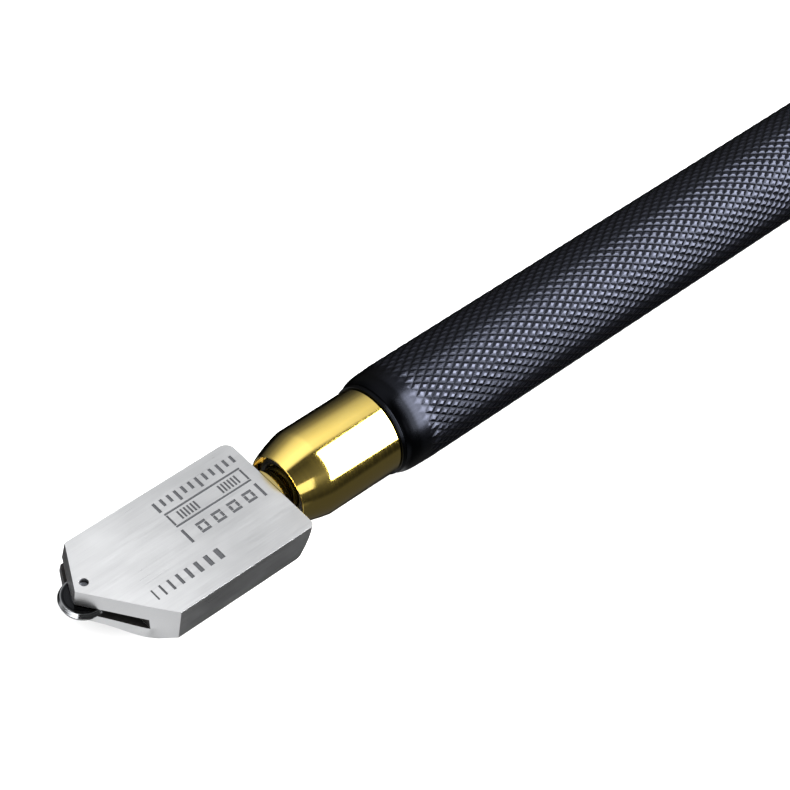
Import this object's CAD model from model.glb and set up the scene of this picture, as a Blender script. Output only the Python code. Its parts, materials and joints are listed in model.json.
"""Looks for an oil-fed glass cutter: ground steel head, carbide wheel, brass fittings, knurled barrel.

The piece builders work in millimetres: X from the head's back face, Y and Z from the handle's axis.
"""
import json
import math

import bmesh
import bpy
from mathutils import Euler, Matrix, Vector


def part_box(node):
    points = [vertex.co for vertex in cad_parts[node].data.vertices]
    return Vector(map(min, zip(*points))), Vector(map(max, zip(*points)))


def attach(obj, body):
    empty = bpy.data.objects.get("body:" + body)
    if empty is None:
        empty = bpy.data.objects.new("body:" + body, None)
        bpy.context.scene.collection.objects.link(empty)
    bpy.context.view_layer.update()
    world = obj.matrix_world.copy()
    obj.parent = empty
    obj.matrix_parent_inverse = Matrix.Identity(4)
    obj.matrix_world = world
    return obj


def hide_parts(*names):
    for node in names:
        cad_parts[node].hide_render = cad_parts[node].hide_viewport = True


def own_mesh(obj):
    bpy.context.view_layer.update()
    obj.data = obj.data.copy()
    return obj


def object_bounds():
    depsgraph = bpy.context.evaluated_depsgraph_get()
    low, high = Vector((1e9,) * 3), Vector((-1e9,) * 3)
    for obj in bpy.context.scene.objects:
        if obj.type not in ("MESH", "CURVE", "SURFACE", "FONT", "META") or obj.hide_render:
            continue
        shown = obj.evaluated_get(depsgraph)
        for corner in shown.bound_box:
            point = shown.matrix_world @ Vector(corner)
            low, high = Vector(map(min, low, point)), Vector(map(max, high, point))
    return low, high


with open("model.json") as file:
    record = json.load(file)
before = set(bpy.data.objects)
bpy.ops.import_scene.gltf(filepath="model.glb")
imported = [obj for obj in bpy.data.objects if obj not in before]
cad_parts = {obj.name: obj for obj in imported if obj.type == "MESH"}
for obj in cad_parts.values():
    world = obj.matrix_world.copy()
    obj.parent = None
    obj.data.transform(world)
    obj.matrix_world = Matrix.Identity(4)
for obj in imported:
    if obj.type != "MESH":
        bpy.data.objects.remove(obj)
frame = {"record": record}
cad_low, cad_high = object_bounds()

# ------------------------------------------------------------------ measures from the frame

MM = 0.001
barrel_low, barrel_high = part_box("barrel")
head_low, head_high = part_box("cutter_head")
wheel_low, wheel_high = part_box("cutting_wheel")
BARREL_RADIUS = (barrel_high.z - barrel_low.z) / 2 / MM
ORIGIN = Vector((head_high.x, 0, (barrel_low.z + barrel_high.z) / 2))
# The wheel's flat side ends here and its V edge begins.
WHEEL_BEVEL = 2.36
BODIES = frame["record"]["behaviour"]["bodies"]
BODY_OF = {node: body for body, nodes in BODIES.items() for node in nodes}


def spot(x, y, z):
    """A point in the frame, in metres, from millimetres about the head's back face and the axis."""
    return ORIGIN + Vector((x, y, z)) * MM


def span(node):
    """Where a node starts and ends along the handle, in millimetres from the head's back face."""
    low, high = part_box(node)
    return (low.x - ORIGIN.x) / MM, (high.x - ORIGIN.x) / MM


def girth(node):
    """A turned node's largest radius in millimetres."""
    low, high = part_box(node)
    return (high.y - low.y) / 2 / MM


# ------------------------------------------------------------------ building turned pieces

def on_handle(along, radius, angle):
    """Places turned points about the handle's axis."""
    return spot(along, radius * math.sin(angle), radius * math.cos(angle))


def upright_at(x, y):
    """Places turned points about a line that stands along Z at x, y."""
    def place(along, radius, angle):
        return spot(x + radius * math.cos(angle), y + radius * math.sin(angle), along)
    return place


def at_height(height):
    """Places turned points about a line that runs along the handle at a height from its axis."""
    return lambda along, radius, angle: on_handle(along, radius, angle) + Vector((0, 0, height * MM))


def eased(outline, ease):
    """Rounds each corner of a turned outline, with a narrow flat on both sides to hold the shading."""
    points = [Vector(point) for point in outline]
    result = []
    for i, corner in enumerate(points):
        back = points[i - 1] - corner
        ahead = points[(i + 1) % len(points)] - corner
        if corner.y < 1e-6 or back.angle(ahead) > math.radians(165):
            result.append(corner)
            continue
        cut = min(ease, 0.3 * back.length, 0.3 * ahead.length)
        start, end = corner + back.normalized() * cut, corner + ahead.normalized() * cut
        hold = 1.5 * cut
        result += [corner + back.normalized() * hold, start, (start + end + 2 * corner) / 4]
        result += [end, corner + ahead.normalized() * hold]
    return result


def rings_of(shape, outline, sides, place=on_handle, relief=None):
    """One ring of vertices for each (along, radius) point, or a single vertex on the axis."""
    rings = []
    for along, radius in outline:
        if radius < 1e-6:
            rings.append([shape.verts.new(place(along, 0, 0))] * sides)
            continue
        ring = []
        for i in range(sides):
            angle = 2 * math.pi * i / sides
            rise = relief(along, radius, angle) if relief else 0
            ring.append(shape.verts.new(place(along, radius + rise, angle)))
        rings.append(ring)
    return rings


def skin(shape, rings):
    """Joins each ring to the next with faces."""
    for ring, after in zip(rings, rings[1:]):
        for i in range(len(ring)):
            j = (i + 1) % len(ring)
            corners = list(dict.fromkeys([ring[i], ring[j], after[j], after[i]]))
            if len(corners) > 2:
                shape.faces.new(corners)


def piece_of(name, shape, sharp=50):
    """Turns the built shape into an object, smooth except at edges steeper than sharp degrees."""
    bmesh.ops.recalc_face_normals(shape, faces=shape.faces)
    mesh = bpy.data.meshes.new(name)
    shape.to_mesh(mesh)
    shape.free()
    mesh.shade_smooth()
    mesh.set_sharp_from_angle(angle=math.radians(sharp))
    piece = bpy.data.objects.new(name, mesh)
    bpy.context.scene.collection.objects.link(piece)
    return piece


def turned(name, outline, sides=96, place=on_handle, relief=None, sharp=60):
    """A turned piece: its outline runs out along the outside and back inside, or ends on the axis."""
    shape = bmesh.new()
    rings = rings_of(shape, outline, sides, place, relief)
    skin(shape, rings + rings[:1])
    return piece_of(name, shape, sharp)


def evenly(start, end, step):
    """Points from start to end, both included, about a step apart."""
    count = max(1, round((end - start) / step))
    return [start + (end - start) * i / count for i in range(count + 1)]


# ------------------------------------------------------------------ cutting and settling

def settle(piece):
    """Applies a piece's modifiers."""
    graph = bpy.context.evaluated_depsgraph_get()
    mesh = bpy.data.meshes.new_from_object(piece.evaluated_get(graph))
    piece.modifiers.clear()
    piece.data = mesh


def cut_away(piece, cutters):
    """Cuts each cutter's shape out of the piece and removes the cutter."""
    for cutter in cutters:
        boolean = piece.modifiers.new(cutter.name, "BOOLEAN")
        boolean.operation = "DIFFERENCE"
        boolean.solver = "EXACT"
        boolean.object = cutter
    bpy.context.view_layer.update()
    settle(piece)
    for cutter in cutters:
        bpy.data.objects.remove(cutter)


def blocks(name, boxes):
    """One shape of separate blocks, each given by its low and high corner in millimetres."""
    shape = bmesh.new()
    for low, high in boxes:
        made = bmesh.ops.create_cube(shape, size=1)
        middle = (Vector(low) + Vector(high)) / 2
        size = Vector(high) - Vector(low)
        for vertex in made["verts"]:
            local = vertex.co
            vertex.co = spot(*(middle[k] + local[k] * size[k] for k in range(3)))
    return piece_of(name, shape)


def drill(name, low, high, radius, place=on_handle):
    """A round cutter from low to high."""
    return turned(name, [(low, 0), (low, radius), (high, radius), (high, 0)], 48, place)


# ------------------------------------------------------------------ finishes

def linear(code):
    """An sRGB hex colour as linear RGBA."""
    parts = [int(code[i:i + 2], 16) / 255 for i in (1, 3, 5)]
    curve = [c / 12.92 if c <= 0.04045 else ((c + 0.055) / 1.055) ** 2.4 for c in parts]
    return (*curve, 1)


def add_node(tree, kind, settings=None, inputs=None):
    """Adds a shader node with its own settings, and with values or links on its inputs."""
    node = tree.nodes.new(kind)
    for name, value in (settings or {}).items():
        setattr(node, name, value)
    for name, value in (inputs or {}).items():
        if isinstance(value, bpy.types.NodeSocket):
            tree.links.new(value, node.inputs[name])
        else:
            node.inputs[name].default_value = value
    return node


def new_finish(name, **constants):
    """A new material with its shader's fixed values; returns it with its tree, shader and place."""
    finish = bpy.data.materials.new(name)
    finish.use_nodes = True
    tree = finish.node_tree
    shader = tree.nodes["Principled BSDF"]
    for socket, value in constants.items():
        shader.inputs[socket.replace("_", " ")].default_value = value
    place = add_node(tree, "ShaderNodeTexCoord").outputs["Object"]
    return finish, tree, shader, place


def grain(tree, place, size, detail=3.0):
    """Noise whose features measure size = (x, y, z) millimetres."""
    scale = [1 / (MM * length) for length in size]
    stretched = add_node(tree, "ShaderNodeMapping", None, {"Vector": place, "Scale": scale})
    settings = {"Vector": stretched.outputs["Vector"], "Scale": 1.0, "Detail": detail, "Roughness": 0.6}
    return add_node(tree, "ShaderNodeTexNoise", None, settings).outputs["Fac"]


def between(tree, amount, low, high, from_low=0.3, from_high=0.7, settings=None):
    """Spreads an amount over a range of values."""
    inputs = {
        "Value": amount, "From Min": from_low, "From Max": from_high, "To Min": low, "To Max": high,
    }
    return add_node(tree, "ShaderNodeMapRange", settings, inputs).outputs["Result"]


def tinted(tree, amount, first, second):
    """Mixes two colours by an amount."""
    mix = add_node(tree, "ShaderNodeMix", {"data_type": "RGBA"}, {0: amount})
    mix.inputs[6].default_value, mix.inputs[7].default_value = linear(first), linear(second)
    return mix.outputs[2]


def raised(tree, shader, height, depth_mm, strength=1.0):
    """Bumps the surface by a height of 0 to 1 that stands for depth_mm."""
    inputs = {"Height": height, "Distance": depth_mm * MM, "Strength": strength}
    bump = add_node(tree, "ShaderNodeBump", None, inputs)
    tree.links.new(bump.outputs["Normal"], shader.inputs["Normal"])


def distance_from_axis(tree, place, centre, along):
    """How far a point is from a line through centre along one axis, in metres."""
    offset = add_node(tree, "ShaderNodeVectorMath", {"operation": "SUBTRACT"}, {0: place, 1: centre})
    keep = [0.0 if axis == along else 1.0 for axis in "XYZ"]
    across = {0: offset.outputs[0], 1: keep}
    flat = add_node(tree, "ShaderNodeVectorMath", {"operation": "MULTIPLY"}, across)
    length = add_node(tree, "ShaderNodeVectorMath", {"operation": "LENGTH"}, {0: flat.outputs[0]})
    return length.outputs["Value"]


def ground_stainless():
    """Stainless steel, surface ground then lightly brushed lengthwise: pale, with faint long scratches,
    and duller towards the handle, where fingers hold it."""
    finish, tree, shader, place = new_finish("ground_stainless_steel", Metallic=1.0)
    # Real scratches are about 0.03 mm wide: drawn at 0.12 mm so that they show.
    scratches = grain(tree, place, (5.0, 0.12, 0.12))
    smudges = grain(tree, place, (6.0, 4.0, 4.0))
    along = add_node(tree, "ShaderNodeSeparateXYZ", None, {0: place}).outputs["X"]
    handled = add_node(tree, "ShaderNodeMix", {"data_type": "RGBA"}, {
        0: between(tree, along, 0.0, 1.0, spot(-19.5, 0, 0).x, spot(-8, 0, 0).x),
        6: tinted(tree, scratches, "#BCBDBF", "#CACBCC"),
        7: tinted(tree, scratches, "#A5A6A8", "#B3B4B5"),
    })
    tree.links.new(handled.outputs[2], shader.inputs["Base Color"])
    rough = add_node(tree, "ShaderNodeMath", {"operation": "ADD"}, {
        0: between(tree, scratches, 0.26, 0.36),
        1: between(tree, smudges, 0.0, 0.08),
    })
    tree.links.new(rough.outputs[0], shader.inputs["Roughness"])
    raised(tree, shader, scratches, 0.004, 0.5)
    return finish


def laser_etched():
    """Steel darkened by a marking laser: a matt grey oxide with a grainy edge."""
    finish, tree, shader, place = new_finish(
        "laser_etched_steel", Roughness=0.75, Specular_IOR_Level=0.3)
    speckle = grain(tree, place, (0.15, 0.15, 0.15))
    tree.links.new(tinted(tree, speckle, "#242527", "#3C3D40"), shader.inputs["Base Color"])
    raised(tree, shader, speckle, 0.01, 0.6)
    return finish


def oily_slot_steel():
    """The slot's own walls: left as the slitting saw cut them, and black with oil and glass dust."""
    finish, tree, shader, place = new_finish("sawn_oily_steel", Metallic=0.5)
    # Saw marks about 0.1 mm apart, along the cut.
    saw_marks = grain(tree, place, (2.0, 0.1, 0.1))
    tree.links.new(tinted(tree, saw_marks, "#0E0D0C", "#2B2A29"), shader.inputs["Base Color"])
    tree.links.new(between(tree, saw_marks, 0.35, 0.6), shader.inputs["Roughness"])
    raised(tree, shader, saw_marks, 0.01, 0.6)
    return finish


def polished_brass():
    """Turned brass, polished and lacquered: deep gold, with faint rings left by the lathe."""
    finish, tree, shader, place = new_finish("polished_lacquered_brass", Metallic=1.0, Coat_Weight=1.0)
    # Real tool marks are about 0.05 mm apart: drawn at 0.2 mm.
    rings = grain(tree, place, (0.2, 30.0, 30.0), 2.0)
    tarnish = grain(tree, place, (3.0, 2.5, 2.5))
    tree.links.new(tinted(tree, tarnish, "#EBD06C", "#E2C358"), shader.inputs["Base Color"])
    rough = add_node(tree, "ShaderNodeMath", {"operation": "ADD"}, {
        0: between(tree, rings, 0.05, 0.1),
        1: between(tree, tarnish, 0.0, 0.05),
    })
    tree.links.new(rough.outputs[0], shader.inputs["Roughness"])
    raised(tree, shader, rings, 0.0008, 0.4)
    return finish


def black_anodised():
    """Aluminium, knurled and anodised black: satin and slightly blue on the diamonds' tops, where
    fingers rub, and dead black between them, where the dye sits deeper."""
    finish, tree, shader, place = new_finish("black_anodised_aluminium", Metallic=1.0)
    from_axis = distance_from_axis(tree, place, ORIGIN, "X")
    tips = between(tree, from_axis, 0.0, 1.0, (BARREL_RADIUS - 0.12) * MM, BARREL_RADIUS * MM)
    patches = grain(tree, place, (9.0, 5.0, 5.0))
    rubbed = add_node(tree, "ShaderNodeMath", {"operation": "MULTIPLY"}, {
        0: tips, 1: between(tree, patches, 0.75, 1.0)})
    tree.links.new(tinted(tree, rubbed.outputs[0], "#0F1013", "#363841"), shader.inputs["Base Color"])
    pores = grain(tree, place, (0.08, 0.08, 0.08))
    tree.links.new(between(tree, pores, 0.24, 0.32), shader.inputs["Roughness"])
    raised(tree, shader, pores, 0.004, 0.4)
    return finish


def nitrile_rubber():
    """Moulded nitrile rubber: black, slightly oily, with a fine matt skin."""
    finish, tree, shader, place = new_finish("moulded_nitrile_rubber", Specular_IOR_Level=0.35)
    skin_grain = grain(tree, place, (0.1, 0.1, 0.1))
    tree.links.new(tinted(tree, skin_grain, "#070708", "#0E0E10"), shader.inputs["Base Color"])
    tree.links.new(between(tree, skin_grain, 0.38, 0.55), shader.inputs["Roughness"])
    raised(tree, shader, skin_grain, 0.006, 0.5)
    return finish


def tungsten_carbide():
    """Sintered tungsten carbide, ground and lapped: black with oil on its sides, dark silver on its
    edge, with fine round marks."""
    finish, tree, shader, place = new_finish("lapped_tungsten_carbide", Metallic=1.0)
    centre = (wheel_low + wheel_high) / 2
    from_centre = distance_from_axis(tree, place, centre, "Z")
    marks = add_node(tree, "ShaderNodeTexNoise", {"noise_dimensions": "1D"}, {
        "W": from_centre,
        # One mark for each 0.08 mm of radius.
        "Scale": 1 / (0.08 * MM),
    }).outputs["Fac"]
    oily = tinted(tree, marks, "#141516", "#2C2D30")
    bright = tinted(tree, marks, "#85878A", "#A3A5A8")
    edge = between(tree, from_centre, 0.0, 1.0, (WHEEL_BEVEL - 0.15) * MM, WHEEL_BEVEL * MM)
    worn = add_node(tree, "ShaderNodeMix", {"data_type": "RGBA"}, {0: edge, 6: oily, 7: bright})
    tree.links.new(worn.outputs[2], shader.inputs["Base Color"])
    tree.links.new(between(tree, marks, 0.1, 0.24), shader.inputs["Roughness"])
    raised(tree, shader, marks, 0.002, 0.5)
    return finish


def drawn_steel():
    """Hardened steel, drawn and ground: dark grey with fine lines, for the pin, screw and spring."""
    finish, tree, shader, place = new_finish("drawn_hardened_steel", Metallic=1.0)
    lines = grain(tree, place, (0.1, 0.1, 0.8))
    tree.links.new(tinted(tree, lines, "#3E4044", "#62646A"), shader.inputs["Base Color"])
    tree.links.new(between(tree, lines, 0.24, 0.4), shader.inputs["Roughness"])
    raised(tree, shader, lines, 0.003, 0.5)
    return finish


def wool_felt():
    """Pressed wool felt: cream, fibrous, soaked a little darker in patches."""
    finish, tree, shader, place = new_finish("pressed_wool_felt", Roughness=0.95, Sheen_Weight=0.3)
    fibres = grain(tree, place, (0.35, 0.06, 0.06), 5.0)
    tree.links.new(tinted(tree, fibres, "#C9BF9F", "#E9E2CB"), shader.inputs["Base Color"])
    raised(tree, shader, fibres, 0.05, 0.8)
    return finish


STEEL = ground_stainless()
ETCHED = laser_etched()
OILED = oily_slot_steel()
BRASS = polished_brass()
ANODISED = black_anodised()
RUBBER = nitrile_rubber()
CARBIDE = tungsten_carbide()
DRAWN = drawn_steel()
FELT = wool_felt()


def stands_for(piece, node, finish):
    """Gives the piece its finish, and lets it stand for a node and move with the node's body."""
    piece.data.materials.append(finish)
    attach(piece, BODY_OF[node])
    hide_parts(node)


# ------------------------------------------------------------------ head

# The plan of the head, its slot and the wheel, in millimetres.
HALF_WIDTH = (head_high.y - head_low.y) / 2 / MM
HALF_THICK = (head_high.z - head_low.z) / 2 / MM
TIP_X = (head_low.x - ORIGIN.x) / MM
TIP_Y = 1.54
NEAR_SHOULDER_X = -18.12
FAR_SHOULDER_X = -21.88
BACK_ROUND = 1.2
WHEEL_X = ((wheel_low.x + wheel_high.x) / 2 - ORIGIN.x) / MM
WHEEL_Y = (wheel_low.y + wheel_high.y) / 2 / MM
WHEEL_Z = ((wheel_low.z + wheel_high.z) / 2 - ORIGIN.z) / MM
WHEEL_RADIUS = (wheel_high.x - wheel_low.x) / 2 / MM
SLOT_FLOOR_X = -20.15
SLOT_HALF = 0.6
SOCKET_DEPTH = 7.0
MARK_DEPTH = 0.05
# How far the two ground faces lean out at the bottom.
NEAR_BULGE = 0.62
FAR_LEAN = 0.52


def head_plan(height):
    """The head's outline at a height. The two ground faces beside the point lean out towards the
    bottom, the near one in a soft bulge."""
    depth = (HALF_THICK - height) / (2 * HALF_THICK)
    tip = Vector((TIP_X, TIP_Y))
    near, far = Vector((NEAR_SHOULDER_X, -HALF_WIDTH)), Vector((FAR_SHOULDER_X, HALF_WIDTH))
    along = (near - tip).normalized()
    outward = Vector((along.y, -along.x))
    plan = []
    for share in evenly(0, 1, 1 / 16):
        bulge = math.sin(math.pi * share ** 2) ** 1.3 if 0 < share < 1 else 0
        plan.append(tip.lerp(near, share) + outward * bulge * (0.06 + NEAR_BULGE * depth ** 4))
    near_round = 0.6 + 1.5 * depth ** 2
    for side, start, rounding in ((-1, -90, near_round), (1, 0, BACK_ROUND)):
        middle = Vector((-rounding, side * (HALF_WIDTH - rounding)))
        for angle in evenly(start, start + 90, 7.5):
            turn = math.radians(angle)
            plan.append(middle + Vector((math.cos(turn), math.sin(turn))) * rounding)
    for share in evenly(0, 15 / 16, 1 / 16):
        lean = math.sin(math.pi / 2 * min(1, 1.6 * (1 - share)))
        plan.append(far.lerp(tip, share) - Vector((FAR_LEAN * depth * lean, 0)))
    return plan


def head_blank():
    """The solid block before its slot and holes are cut."""
    shape = bmesh.new()
    levels = []
    for height in evenly(-HALF_THICK, HALF_THICK, 1.1):
        levels.append([shape.verts.new(spot(x, y, height)) for x, y in head_plan(height)])
    skin(shape, levels)
    shape.faces.new(levels[0])
    shape.faces.new(levels[-1])
    return piece_of("head_block", shape)


def etched_marks():
    """Plain marks for the wide face, as rectangles (low x, low y, high x, high y): a tick scale, a
    framed panel with two hatched squares, a row of open squares between two bars, and a row of bars
    that grow thicker. None of them touch."""
    marks = []
    for i in range(12):
        low = 3.95 if i % 3 == 0 else 4.35
        marks.append((-11.83 + 0.95 * i, low, -11.47 + 0.95 * i, 5.35))
    line, gap = 0.24, 0.06
    left, base, right, top = -11.6, 1.45, -1.4, 3.6
    marks += [(left, base, right, base + line), (left, top - line, right, top)]
    for x in (left, right - line):
        marks.append((x, base + line + gap, x + line, top - line - gap))
    for start in (-10.4, -4.9):
        for i in range(6):
            marks.append((start + 0.44 * i, 1.95, start + 0.24 + 0.44 * i, 3.1))
    for x in (-11.6, -1.65):
        marks.append((x, -1.0, x + 0.34, 0.95))
    for i in range(4):
        x = -9.9 + 2.1 * i
        marks += [(x, -0.7, x + 1.25, -0.38), (x, 0.38, x + 1.25, 0.7)]
        marks += [(x, -0.38 + gap, x + 0.32, 0.38 - gap), (x + 0.93, -0.38 + gap, x + 1.25, 0.38 - gap)]
    x = -18.9
    for i in range(8):
        thick = 0.2 + 0.06 * i
        marks.append((x, -4.4, x + thick, -3.0))
        x += thick + 0.8
    return marks


def cutter_head():
    """The block with its slot, axle hole, stem socket and oil way, broken edges and shallow marks."""
    block = head_blank()
    # The cutters reach well past the block.
    reach = 30
    slot_low = (TIP_X - reach, -reach, WHEEL_Z - SLOT_HALF)
    slot_high = (SLOT_FLOOR_X, reach, WHEEL_Z + SLOT_HALF)
    cut_away(block, [
        blocks("slot", [(slot_low, slot_high)]),
        drill("axle_hole", -reach, reach, 0.5, upright_at(WHEEL_X, WHEEL_Y)),
        drill("stem_socket", -SOCKET_DEPTH, 1.0, 1.6),
        drill("oil_way", -21.0, -6.0, 0.5, at_height(WHEEL_Z)),
    ])
    bevel = block.modifiers.new("edge_break", "BEVEL")
    bevel.width = 0.11 * MM
    bevel.segments = 2
    bevel.limit_method = "ANGLE"
    bevel.angle_limit = math.radians(40)
    settle(block)
    floor = HALF_THICK - MARK_DEPTH
    boxes = [((x0, y0, floor), (x1, y1, HALF_THICK + 1)) for x0, y0, x1, y1 in etched_marks()]
    cut_away(block, [blocks("marks", boxes)])
    stands_for(block, "cutter_head", STEEL)
    block.data.materials.append(ETCHED)
    block.data.materials.append(OILED)
    slot_z, mark_z, slot_end = spot(0, 0, WHEEL_Z).z, spot(0, 0, floor).z, spot(-18, 0, 0).x
    for face in block.data.polygons:
        if abs(face.center.z - mark_z) < 0.3 * MARK_DEPTH * MM and face.normal.z > 0.9:
            face.material_index = 1
        wall = abs(face.normal.z) > 0.9 or face.normal.x < -0.95
        inside = abs(face.center.z - slot_z) < (SLOT_HALF + 0.01) * MM and face.center.x < slot_end
        if wall and inside:
            face.material_index = 2
    block.data.shade_smooth()
    block.data.set_sharp_from_angle(angle=math.radians(12))
    return block


def cutting_wheel():
    """The wheel: flat lapped sides with a shallow ring, and a V edge."""
    half = (wheel_high.z - wheel_low.z) / 2 / MM
    hole, ring_start, ring_end, ring_depth = 0.5, 1.15, 2.1, 0.06
    side = [
        (hole, half), (ring_start, half), (ring_start + 0.15, half - ring_depth),
        (ring_end - 0.15, half - ring_depth), (ring_end, half), (WHEEL_BEVEL, half),
    ]
    outline = [(WHEEL_Z - along, radius) for radius, along in side]
    outline.append((WHEEL_Z, WHEEL_RADIUS))
    outline += [(WHEEL_Z + along, radius) for radius, along in reversed(side)]
    wheel = turned("wheel_disc", outline, 144, upright_at(WHEEL_X, WHEEL_Y), sharp=14)
    stands_for(wheel, "cutting_wheel", CARBIDE)


def wheel_axle():
    """The short pin across the slot, with its ends below the head's faces."""
    low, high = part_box("wheel_axle")
    base, top = (low.z - ORIGIN.z) / MM, (high.z - ORIGIN.z) / MM
    radius = (high.x - low.x) / 2 / MM
    outline = eased([(base, 0), (base, radius), (top, radius), (top, 0)], 0.12)
    pin = turned("wheel_pin", outline, 48, upright_at(WHEEL_X, WHEEL_Y))
    stands_for(pin, "wheel_axle", DRAWN)


def oil_wick():
    """The felt strand in the oil way, slightly uneven along its length."""
    start, end = span("oil_wick")
    radius, swell = 0.43, 0.02
    outline = [(x, radius + swell * math.sin(4 * x)) for x in evenly(start, end, 0.3)]
    outline = [(start, 0)] + outline + [(end, 0)]
    stands_for(turned("wick_strand", outline, 24, at_height(WHEEL_Z)), "oil_wick", FELT)


def head_stem():
    """The stem: a spigot in the head, a neck, and a long body with a pocket for the screw's point."""
    start, end = span("head_stem")
    neck, body, spigot, bore = girth("head_stem"), 2.55, 1.55, 0.6
    neck_start, neck_end = 0.03, 0.8
    outline = eased([
        (start, bore), (start, spigot), (neck_start, spigot), (neck_start, neck), (neck_end, body),
        (end, body), (end, bore),
    ], 0.12)
    stem = turned("swivel_stem", outline, 96)
    cut_away(stem, [blocks("pocket", [((7.5, -1.05, -4), (9.65, 1.05, -1.7))])])
    stands_for(stem, "head_stem", BRASS)
    stem.data.set_sharp_from_angle(angle=math.radians(60))


# ------------------------------------------------------------------ collar, valve and seals

# The pitches of the collar's and the cap's threads and of the small screw's, in millimetres.
COARSE_PITCH = 1.0
FINE_PITCH = 0.4
SCREW_X = 9.0


def thread(start, end, pitch, depth):
    """The relief of a screw thread between two places, fading out at its ends."""
    def relief(along, radius, angle):
        if not start < along < end:
            return 0
        turn = (along / pitch - angle / (2 * math.pi)) % 1
        fade = min(1, (along - start) / pitch, (end - along) / pitch)
        return -depth * fade * abs(2 * turn - 1)
    return relief


def threaded_run(start, end, radius, pitch):
    """Close-set points along a threaded stretch."""
    return [(x, radius) for x in evenly(start, end, pitch / 10)]


def nose_collar():
    """The collar: a cone and a cylinder outside; a mouth, guide bore and valve chamber inside."""
    rim, end = span("nose_collar")
    full, spigot, groove = girth("nose_collar"), 4.4, 3.92
    ring_x = sum(span("front_o_ring")) / 2
    mouth, mouth_end, front_rim, cone_end = 3.88, 2.55, 4.05, 4.98
    guide, guide_end, chamber, full_end, thread_start = 2.7, 13.0, 3.4, 14.4, 17.2
    # The cone bulges a little between its ends.
    cone = []
    for share in evenly(0.15, 0.85, 0.14):
        bulge = 0.4 * share * (1 - share)
        cone.append((rim + (cone_end - rim) * share, front_rim + (full - front_rim) * share + bulge))
    outside = eased([
        (rim, mouth), (rim, front_rim), *cone, (cone_end, full), (full_end, full), (full_end, spigot),
        (ring_x - 0.4, spigot), (ring_x - 0.4, groove), (ring_x + 0.4, groove), (ring_x + 0.4, spigot),
    ], 0.1)
    inside = eased([
        (end, 4.1), (end, chamber), (guide_end, chamber), (guide_end, guide),
        (mouth_end, guide), (mouth_end, mouth),
    ], 0.08)
    outline = outside + threaded_run(thread_start, end - 0.3, spigot, COARSE_PITCH) + inside
    spiral = thread(thread_start, end - 0.3, COARSE_PITCH, 0.42)
    collar = turned("brass_collar", outline, 128, relief=spiral)
    cut_away(collar, [drill("screw_hole", -8, -2.75, 1.0, upright_at(SCREW_X, 0))])
    stands_for(collar, "nose_collar", BRASS)
    collar.data.set_sharp_from_angle(angle=math.radians(60))


def o_ring(name, node):
    """A moulded ring with a round section, and the faint flash line of its mould outside."""
    start, end = span(node)
    wire, outer = (end - start) / 2, girth(node)
    middle, x = outer - wire, (start + end) / 2
    outline = []
    for i in range(24):
        angle = 2 * math.pi * i / 24
        outline.append((x + wire * math.cos(angle), middle + wire * math.sin(angle)))
    stands_for(turned(name, outline, 96), node, RUBBER)


def retaining_screw():
    """A slotted grub screw with a round point, below the collar."""
    low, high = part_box("retaining_screw")
    base, top = (low.z - ORIGIN.z) / MM, (high.z - ORIGIN.z) / MM
    x, radius, point = ((low.x + high.x) / 2 - ORIGIN.x) / MM, (high.x - low.x) / 2 / MM, 0.55
    shoulder, thread_end = -2.9, -3.1
    crest = threaded_run(base + 0.2, thread_end, radius, FINE_PITCH)
    outline = [(base, 0), (base, radius - 0.2)] + crest
    outline += eased([(shoulder, radius - 0.2), (shoulder, point)], 0.05)
    outline += [(top - 0.12, point), (top, point - 0.12), (top, 0)]
    spiral = thread(base + 0.2, thread_end, FINE_PITCH, 0.14)
    screw = turned("grub_screw", outline, 48, upright_at(x, 0), spiral)
    slot_half, slot_depth = 0.18, 0.6
    slot_box = ((x - 2, -slot_half, base - 1), (x + 2, slot_half, base + slot_depth))
    cut_away(screw, [blocks("drive_slot", [slot_box])])
    stands_for(screw, "retaining_screw", DRAWN)


def valve_pieces():
    """The plunger, its washer, and the bored plug and felt behind the spring."""
    start, end = span("valve_plunger")
    nose, disc, disc_start = 1.2, girth("valve_plunger"), 13.4
    outline = eased([
        (start, 0), (start, nose), (disc_start, nose), (disc_start, disc), (end, disc), (end, 0),
    ], 0.1)
    stands_for(turned("plunger_disc", outline), "valve_plunger", BRASS)
    start, end = span("valve_seal")
    outer, bore = girth("valve_seal"), 1.25
    outline = eased([(start, bore), (start, outer), (end, outer), (end, bore)], 0.08)
    stands_for(turned("seal_washer", outline), "valve_seal", RUBBER)
    start, end = span("spring_retainer")
    outer, bore = girth("spring_retainer"), 1.3
    outline = eased([(start, bore), (start, outer), (end, outer), (end, bore)], 0.2)
    plug = turned("retainer_plug", outline)
    slot_half, slot_depth = 0.35, 0.7
    slot_box = ((end - slot_depth, -8, -slot_half), (end + 1, 8, slot_half))
    cut_away(plug, [blocks("driver_slot", [slot_box])])
    stands_for(plug, "spring_retainer", BRASS)
    start, end = span("felt_filter")
    radius = girth("felt_filter")
    outline = eased([(start, 0), (start, radius), (end, radius), (end, 0)], 0.25)
    stands_for(turned("felt_plug", outline, 48), "felt_filter", FELT)


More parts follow.
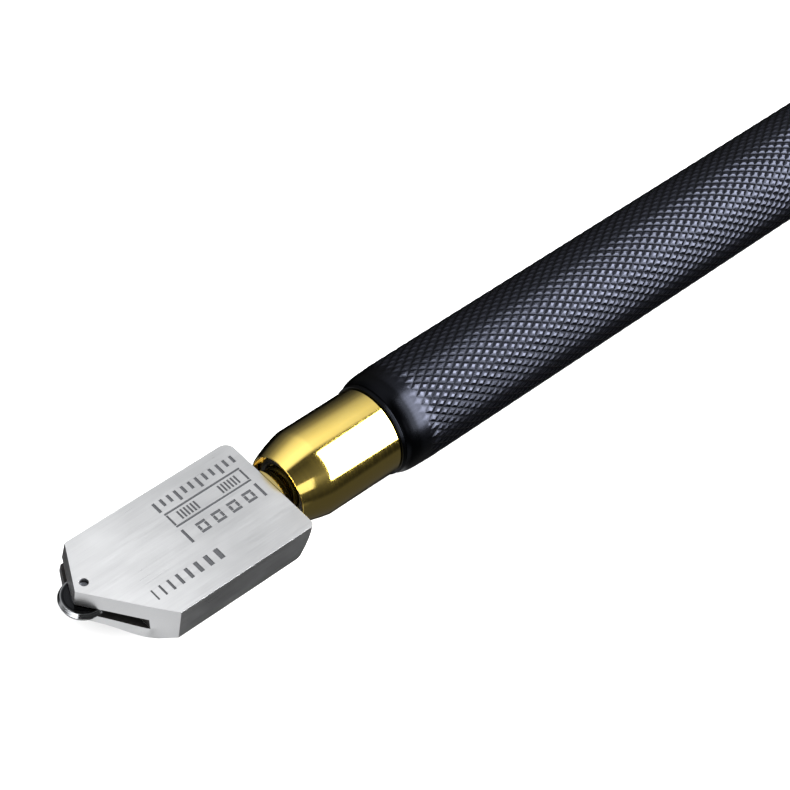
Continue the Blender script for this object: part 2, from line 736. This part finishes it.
def valve_spring():
    """A coil of round wire with a closed turn at each end. It shortens as the head is pressed in."""
    start, end = span("valve_spring")
    wire, turns, steps, sides, closed = 0.28, 5, 28, 12, 0.12
    radius = girth("valve_spring") - wire
    shape = bmesh.new()
    rings = []
    for i in range(turns * steps + 1):
        share = i / (turns * steps)
        rise = min(max((share - closed) / (1 - 2 * closed), 0), 1)
        rise = 0.04 * share + 0.96 * rise * rise * (3 - 2 * rise)
        x = start + wire + (end - start - 2 * wire) * rise
        turn = 2 * math.pi * turns * share
        outward = Vector((0, math.cos(turn), math.sin(turn)))
        ring = []
        for k in range(sides):
            around = 2 * math.pi * k / sides
            out, ahead = radius + wire * math.cos(around), x + wire * math.sin(around)
            ring.append(shape.verts.new(spot(*(outward * out + Vector((ahead, 0, 0))))))
        rings.append(ring)
    skin(shape, rings)
    shape.faces.new(rings[0])
    shape.faces.new(rings[-1])
    coil = piece_of("spring_coil", shape)
    stands_for(coil, "valve_spring", DRAWN)
    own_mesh(coil)


# ------------------------------------------------------------------ barrel and cap

# The knurl: its starts each way, the angle of its grooves to the handle in degrees, how deep they go,
# how deep the plain ends lie beside it, and how much of each diamond is flat.
KNURL_STARTS = 37
KNURL_ANGLE = 31.85
KNURL_DEPTH = 0.1
PLAIN_DEPTH = 0.08
KNURL_FLAT = 0.34


def knurled_band(shape, first, last, start, end):
    """Fills the stretch between two plain rings with raised flat-topped diamonds.

    The diamonds sit on a lattice with two columns for each start. Every second crossing is the
    bottom of a groove, and each one between is the middle of a diamond.
    """
    columns = len(first)
    turn = 2 * math.pi / columns
    step = BARREL_RADIUS * turn / math.tan(math.radians(KNURL_ANGLE))
    rows = round((end - start) / step)
    step = (end - start) / rows
    nodes = {}
    for i in range(columns):
        nodes[i, 0], nodes[i, rows] = first[i], last[i]
    for row in range(1, rows):
        fade = min(1, row / 2, (rows - row) / 2)
        for i in range(columns):
            if (i + row) % 2 == 0:
                radius = BARREL_RADIUS - PLAIN_DEPTH - (KNURL_DEPTH - PLAIN_DEPTH) * fade
                nodes[i, row] = shape.verts.new(on_handle(start + row * step, radius, i * turn))
                continue
            radius = BARREL_RADIUS - PLAIN_DEPTH * (1 - fade)
            diamond = {}
            for di, dk in ((-1, 0), (0, -1), (1, 0), (0, 1)):
                x, angle = start + (row + dk * KNURL_FLAT) * step, (i + di * KNURL_FLAT) * turn
                diamond[di, dk] = shape.verts.new(on_handle(x, radius, angle))
            nodes[i, row] = diamond
            shape.faces.new(diamond.values())
    for row in range(rows):
        for i in range(columns):
            for di, dk in ((0, 0), (1, 0), (0, 1), (1, 1)):
                if (i + di + row + dk) % 2 == 0:
                    continue
                peak = nodes[(i + di) % columns, row + dk]
                beside = nodes[(i + 1 - di) % columns, row + dk]
                beyond = nodes[(i + di) % columns, row + 1 - dk]
                corners = [beside, beyond]
                if isinstance(peak, dict):
                    corners += [peak[0, 1 - 2 * dk], peak[1 - 2 * di, 0]]
                else:
                    corners.append(peak)
                shape.faces.new(corners)


def barrel_tube():
    """The barrel: a lip, a groove and a rounded shoulder at each end, knurled between, bored through."""
    start, end = span("barrel")
    bore, plain = 4.58, BARREL_RADIUS - PLAIN_DEPTH
    lip_face, lip_radius, groove, groove_start, groove_end = 5.38, 5.45, 5.3, 0.42, 0.62
    columns = 2 * KNURL_STARTS
    rise = []
    for i in range(1, 9):
        angle = math.pi / 2 * i / 8
        along = 0.75 + 2.2 * (1 - math.cos(angle))
        rise.append((along, lip_radius + (plain - lip_radius) * math.sin(angle)))
    lip = eased([
        (0, bore), (0, lip_face), (groove_start, lip_radius), (groove_start, groove),
        (groove_end, groove), (groove_end, lip_radius),
    ], 0.07)
    front = [(start + x, radius) for x, radius in list(lip)[3:] + rise]
    back = [(end - x, radius) for x, radius in reversed(list(lip)[3:] + rise)]
    shape = bmesh.new()
    front_rings = rings_of(shape, front, columns)
    thread_low, thread_high = end - 6.6, end - 1.6
    inside = threaded_run(thread_low, thread_high, bore, COARSE_PITCH)
    back_rings = rings_of(shape, back, columns)
    spiral = thread(thread_low, thread_high, COARSE_PITCH, -0.1)
    bore_rings = rings_of(shape, reversed(inside), columns, relief=spiral)
    skin(shape, front_rings)
    skin(shape, back_rings + bore_rings + front_rings[:1])
    knurled_band(shape, front_rings[-1], back_rings[0], front[-1][0], back[0][0])
    barrel = piece_of("knurled_barrel", shape, sharp=20)
    stands_for(barrel, "barrel", ANODISED)


def rear_cap():
    """The filler cap: a flange, a waist, a fluted grip, a dished end and a threaded spigot."""
    start, end = span("rear_cap")
    grip, spigot, groove, hollow = girth("rear_cap"), 4.4, 3.92, 2.8
    ring_x = sum(span("rear_cap_o_ring")) / 2
    face, flange_end, waist_end, hollow_end = 137.05, 138.4, 139.4, 145.0
    flange, waist = 5.5, 5.1
    threaded = threaded_run(start + 0.3, ring_x - 0.8, spigot, COARSE_PITCH)
    outside = eased([
        (ring_x - 0.4, spigot), (ring_x - 0.4, groove), (ring_x + 0.4, groove), (ring_x + 0.4, spigot),
        (face, spigot), (face, flange), (flange_end, flange), (flange_end, waist), (waist_end, waist),
        (waist_end, grip - 0.1),
    ], 0.1)
    band = [(x, grip) for x in evenly(waist_end + 0.5, end - 1.7, 0.3)]
    ending = eased([(end - 1.4, grip - 0.12), (end - 0.9, grip - 0.12), (end, grip - 1.1)], 0.25)
    dish = [(end, 3.6), (end - 0.15, 3.4), (end - 0.15, 0)]
    closing = dish + [(hollow_end, 0), (hollow_end, hollow), (start, hollow)]
    spiral = thread(start + 0.3, ring_x - 0.8, COARSE_PITCH, 0.42)
    flutes_start, flutes_end, flute_pairs, flute_depth = waist_end + 0.4, end - 1.6, 24, 0.16

    def flutes(along, radius, angle):
        if not flutes_start < along < flutes_end:
            return spiral(along, radius, angle)
        fade = min(1, (along - flutes_start) / 0.4, (flutes_end - along) / 0.4)
        return -flute_depth * fade * abs(math.sin(flute_pairs * angle)) ** 0.6

    outline = [(start, 4.1)] + threaded + outside + band + ending + closing
    stands_for(turned("filler_cap", outline, 240, relief=flutes), "rear_cap", BRASS)


# ------------------------------------------------------------------ making the object

cutter_head()
cutting_wheel()
wheel_axle()
oil_wick()
head_stem()
nose_collar()
o_ring("mouth_seal", "mouth_o_ring")
o_ring("front_seal", "front_o_ring")
o_ring("cap_seal_ring", "rear_cap_o_ring")
retaining_screw()
valve_pieces()
valve_spring()
barrel_tube()
rear_cap()

# ------------------------------------------------------------------ studio

# The even light that all but polished surfaces see, and the light straight below.
PALE_LIGHT = 2.2
UNDER_LIGHT = 1.1


def studio_floor():
    """A wide pale sheet under the cutter. Polished metal sees the studio's dark below, not the sheet."""
    shape = bmesh.new()
    half = 1.6
    corners = [(-half, -half), (half, -half), (half, half), (-half, half)]
    shape.faces.new([shape.verts.new((x, y, cad_low.z)) for x, y in corners])
    sheet = piece_of("studio_sheet", shape)
    finish, tree, shader, place = new_finish("pale_paper", Roughness=0.9)
    fibres = grain(tree, place, (2.0, 2.0, 2.0))
    tree.links.new(tinted(tree, fibres, "#F3F3F3", "#F6F6F6"), shader.inputs["Base Color"])
    sheet.data.materials.append(finish)
    sheet.visible_glossy = False


def direction(around, forward):
    """A direction by its angle about the handle, from up towards +Y, and its angle towards +X."""
    turn, lean = math.radians(around), math.radians(forward)
    return Vector((math.sin(lean), math.cos(lean) * math.sin(turn), math.cos(lean) * math.cos(turn)))


def softbox(name, around, forward, distance, width, height, power):
    """A soft rectangular light that faces the collar. Its width runs round the handle."""
    light = bpy.data.lights.new(name, "AREA")
    light.shape = "RECTANGLE"
    light.size, light.size_y = width, height
    light.energy = power
    lamp = bpy.data.objects.new(name, light)
    bpy.context.scene.collection.objects.link(lamp)
    towards = direction(around, forward)
    ahead = direction(around, forward + 90)
    side = ahead.cross(towards)
    place = ORIGIN + towards * distance
    rows = [(side[k], ahead[k], towards[k], place[k]) for k in range(3)]
    lamp.matrix_world = Matrix(rows + [(0, 0, 0, 1)])
    lamp.visible_camera = False


def times(tree, first, second):
    """Multiplies two amounts."""
    return add_node(tree, "ShaderNodeMath", {"operation": "MULTIPLY"}, {0: first, 1: second}).outputs[0]


def blended(tree, amount, first, second):
    """Mixes two levels by an amount."""
    inputs = {0: amount, 2: first, 3: second}
    return add_node(tree, "ShaderNodeMix", {"data_type": "FLOAT"}, inputs).outputs[0]


def softly(tree, amount, low, high, from_low, from_high):
    """Spreads an amount over a range of values, easing in and out."""
    settings = {"interpolation_type": "SMOOTHSTEP"}
    return between(tree, amount, low, high, from_low, from_high, settings)


def facing(tree, way, towards):
    """How nearly a direction points towards another."""
    inputs = {0: way, 1: towards}
    return add_node(tree, "ShaderNodeVectorMath", {"operation": "DOT_PRODUCT"}, inputs).outputs["Value"]


def studio_air():
    """The room's own light: bands of brightness round the handle above, and a dark table below that
    brightens towards the front. Only polished surfaces see them; all else sees an even pale light."""
    world = bpy.data.worlds.new("studio")
    bpy.context.scene.world = world
    world.use_nodes = True
    tree = world.node_tree
    tree.nodes.clear()
    way = add_node(tree, "ShaderNodeTexCoord").outputs["Generated"]
    parts = add_node(tree, "ShaderNodeSeparateXYZ", None, {0: way})
    around = add_node(tree, "ShaderNodeMath", {"operation": "ARCTAN2"}, {
        0: parts.outputs["Y"], 1: parts.outputs["Z"]})
    share = add_node(tree, "ShaderNodeMapRange", None, {
        "Value": around.outputs[0], "From Min": -math.pi, "From Max": math.pi})
    bands = add_node(tree, "ShaderNodeValToRGB", None, {"Fac": share.outputs["Result"]})
    # Degrees round the handle from up towards +Y, and the brightness there.
    levels = [
        (-180, 0.1), (-112, 0.03), (-98, 0.03), (-75, 0.08), (-58, 0.25), (-45, 0.14), (-12, 0.05),
        (1, 0.06), (8, 1.3), (22, 1.45), (36, 1.2), (52, 0.85), (67, 0.36), (83, 0.14), (100, 0.05),
        (180, 0.03),
    ]
    ramp = bands.color_ramp
    for angle, level in levels[1:-1]:
        ramp.elements.new((angle + 180) / 360).color = (level, level, level, 1)
    for element, (angle, level) in ((ramp.elements[0], levels[0]), (ramp.elements[-1], levels[-1])):
        element.color = (level, level, level, 1)
    nearer = between(tree, parts.outputs["X"], 1.5, 0.45, 0.2, 0.7)
    above = times(tree, bands.outputs["Color"], nearer)
    table = softly(tree, facing(tree, way, (-0.98, -0.2, 0)), 0.1, 1.35, 0.2, 0.5)
    far = softly(tree, facing(tree, way, (-0.78, -0.62, 0)), 0.03, 1.0, -0.5, -0.15)
    below = times(tree, table, far)
    height = parts.outputs["Z"]
    sides = blended(tree, softly(tree, height, 0.0, 1.0, -0.2, -0.38), above, below)
    mixed = blended(tree, softly(tree, height, 0.0, 1.0, -0.955, -0.985), sides, UNDER_LIGHT)
    seen = add_node(tree, "ShaderNodeLightPath")
    pale = blended(tree, seen.outputs["Is Glossy Ray"], PALE_LIGHT, mixed)
    glow = add_node(tree, "ShaderNodeBackground", None, {"Strength": pale})
    add_node(tree, "ShaderNodeOutputWorld", None, {"Surface": glow.outputs[0]})


# Angles in degrees, lengths in millimetres.
CAMERA_LENS = 122.15
CAMERA_AIM = (20.22, 2.02, 0)
CAMERA_AZIMUTH, CAMERA_ELEVATION, CAMERA_ROLL, CAMERA_DISTANCE = -51.54, 49.18, 11.09, 293.5


def camera():
    """A long lens from above the point, on the side away from the head's far shoulder."""
    lens = bpy.data.cameras.new("camera")
    lens.sensor_width = 36
    lens.lens = CAMERA_LENS
    eye = bpy.data.objects.new("camera", lens)
    bpy.context.scene.collection.objects.link(eye)
    azimuth, elevation = math.radians(CAMERA_AZIMUTH), math.radians(CAMERA_ELEVATION)
    level = math.cos(elevation)
    back = Vector((math.sin(azimuth) * level, -math.cos(azimuth) * level, math.sin(elevation)))
    eye.location = spot(*CAMERA_AIM) + back * CAMERA_DISTANCE * MM
    upright = back.to_track_quat("Z", "Y")
    eye.rotation_mode = "QUATERNION"
    eye.rotation_quaternion = upright @ Euler((0, 0, math.radians(CAMERA_ROLL))).to_quaternion()
    bpy.context.scene.camera = eye


studio_floor()
studio_air()
# Degrees round the handle and along it, distance, width and height in metres, and watts.
softbox("key_softbox", -41, 33, 0.8, 1.1, 0.5, 30)
softbox("small_card", -62, -14, 0.8, 0.36, 0.3, 0.5)
softbox("front_card", -90, -87, 0.8, 0.22, 0.95, 4.0)
camera()
bpy.context.scene.view_settings.view_transform = "Standard"
